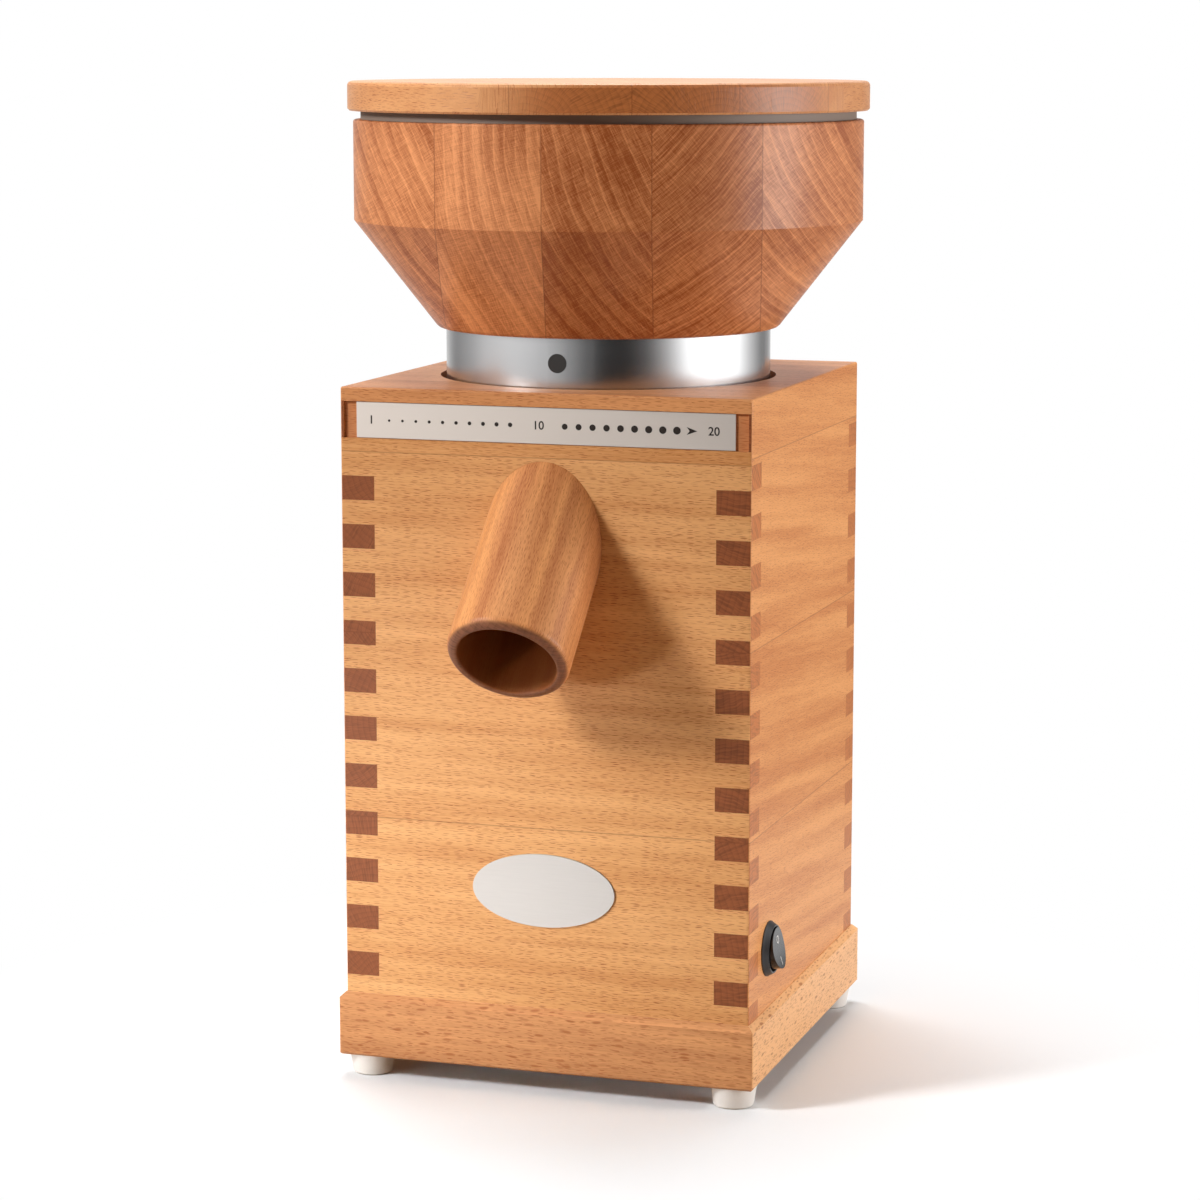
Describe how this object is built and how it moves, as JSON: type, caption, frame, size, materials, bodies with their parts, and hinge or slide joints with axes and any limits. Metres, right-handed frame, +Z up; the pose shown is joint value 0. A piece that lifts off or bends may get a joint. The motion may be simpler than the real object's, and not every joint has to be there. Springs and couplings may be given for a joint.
{
  "type": "electric grain mill",
  "caption": "Tabletop electric grain mill: finger-jointed wooden housing, slanted flour spout, round wooden hopper with a lid, millstones and motor inside.",
  "frame": {"origin": "on the floor that the feet stand on, at the middle of the whole outline in plan; the mill's vertical axis passes through x 0, y +20.41 mm", "axes": "+Z up, -Y towards the spout and scale at the front, +X towards the side with the switch"},
  "size_m": [0.2254, 0.2656, 0.4263],
  "materials": {
    "beech_panel": "oiled beech, satin",
    "beech_base": "oiled beech, satin",
    "beech_turned": "oiled beech, satin",
    "beech_lid": "oiled beech, satin",
    "brushed_steel": "brushed",
    "scale_steel": "fine brushed",
    "screw_steel": "bright zinc",
    "shaft_steel": "ground",
    "foot_plastic": "matt white",
    "black_plastic": "satin black",
    "grey_plastic": "matt grey",
    "marker_black": "black",
    "seal_grey": "matt grey",
    "damper_rubber": "matt black",
    "millstone": "coarse grit, bonded",
    "cast_aluminium": "cast, blasted",
    "lamination_steel": "stacked sheet",
    "winding_copper": "lacquered copper",
    "terminal_brass": "plain",
    "capacitor_can": "drawn can",
    "spring_steel": "plain wire"
  },
  "bodies": {
    "housing": {"base_board": "beech_base", "feet": "foot_plastic", "foot_screws": "screw_steel", "base_screws": "screw_steel", "left_panel": "beech_panel", "right_panel": "beech_panel", "front_panel": "beech_panel", "back_panel": "beech_panel", "top_board": "beech_panel", "scale_inlay": "beech_panel", "scale_plate": "scale_steel", "name_plate": "scale_steel", "spout": "beech_turned", "grinding_chamber": "cast_aluminium", "chamber_floor": "cast_aluminium", "chamber_screws": "screw_steel", "thread_sleeve": "grey_plastic", "sleeve_screws": "screw_steel", "shaft_seal": "seal_grey", "guide_pins": "shaft_steel", "carrier_springs": "spring_steel", "motor_dampers": "damper_rubber", "motor_bolts": "screw_steel", "upper_end_shield": "cast_aluminium", "lower_end_shield": "cast_aluminium", "stator_core": "lamination_steel", "stator_windings": "winding_copper", "tie_bolts": "screw_steel", "upper_bearing_outer": "shaft_steel", "lower_bearing_outer": "shaft_steel", "switch_body": "black_plastic", "switch_terminals": "terminal_brass", "mains_bush": "black_plastic", "run_capacitor": "capacitor_can", "capacitor_strap": "screw_steel", "terminal_block": "grey_plastic"},
    "rotor": {"rotor_shaft": "shaft_steel", "rotor_core": "lamination_steel", "rotor_end_rings": "cast_aluminium", "upper_bearing_inner": "shaft_steel", "lower_bearing_inner": "shaft_steel", "cooling_fan": "grey_plastic", "fan_clip": "spring_steel", "stone_holder": "cast_aluminium", "drive_pins": "shaft_steel", "lower_millstone": "millstone", "flour_wiper": "grey_plastic", "stone_nut": "screw_steel"},
    "upper_stone": {"upper_millstone": "millstone", "stone_carrier": "grey_plastic"},
    "hopper": {"hopper_staves": "beech_turned", "hopper_collar": "brushed_steel", "hopper_ring": "grey_plastic", "feed_funnel": "grey_plastic", "press_ring": "grey_plastic", "ring_screws": "screw_steel", "setting_marker": "marker_black"},
    "lid": {"lid": "beech_lid", "lid_seal": "seal_grey"},
    "rocker": {"switch_rocker": "black_plastic"}
  },
  "joints": [
    {"name": "rotor_spin", "type": "hinge", "parent": "housing", "child": "rotor", "pos_m": [0, 0.02041, 0.28], "axis": [0, 0, 1], "continuous": true},
    {"name": "stone_lift", "type": "slide", "parent": "housing", "child": "upper_stone", "axis": [0, 0, 1], "range_m": [-0.00092, 0.00092], "stiffness_N_per_m": 4000, "springref_m": 0.0045, "deforming": ["carrier_springs"]},
    {"name": "hopper_turn", "type": "hinge", "parent": "upper_stone", "child": "hopper", "pos_m": [0, 0.02041, 0.2995], "axis": [0, 0, 1], "range_deg": [-65, 65]},
    {"name": "lid_lift", "type": "slide", "parent": "hopper", "child": "lid", "axis": [0, 0, 1], "range_m": [0, 0.15]},
    {"name": "switch_rock", "type": "hinge", "parent": "housing", "child": "rocker", "pos_m": [0.0915, -0.03809, 0.0626], "axis": [0, 1, 0], "range_deg": [0, 21]}
  ],
  "couplings": [
    {"joint": "stone_lift", "follows": "hopper_turn", "m_per_rad": 0.00079577}
  ]
}
